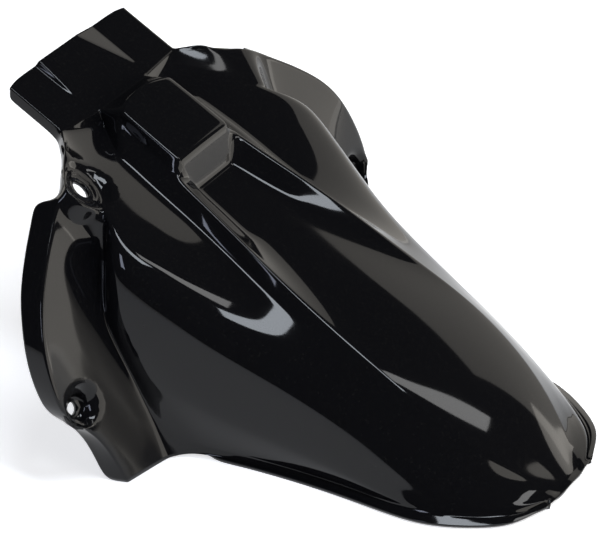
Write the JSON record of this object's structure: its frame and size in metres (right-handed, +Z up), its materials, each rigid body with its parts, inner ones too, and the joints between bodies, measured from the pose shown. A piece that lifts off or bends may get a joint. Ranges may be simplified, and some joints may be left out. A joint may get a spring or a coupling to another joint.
{
  "type": "motorcycle rear hugger mudguard",
  "caption": "Glossy black moulded rear hugger mudguard for a motorcycle, with a mounting tongue, raised box and scoop, twin rails, folded side wings and bolt seats.",
  "frame": {"origin": "Middle of the bounding box at the height of the rim that the guard stands on.", "axes": "+X to the right as seen from the tail looking forward, +Y forward along the tongue, +Z up; the tail points to -Y."},
  "size_m": [0.3532, 0.3884, 0.2001],
  "materials": {
    "body": "high gloss black plastic, moulded in colour"
  },
  "bodies": {
    "root": {"hugger_mudguard": "body"}
  },
  "joints": []
}
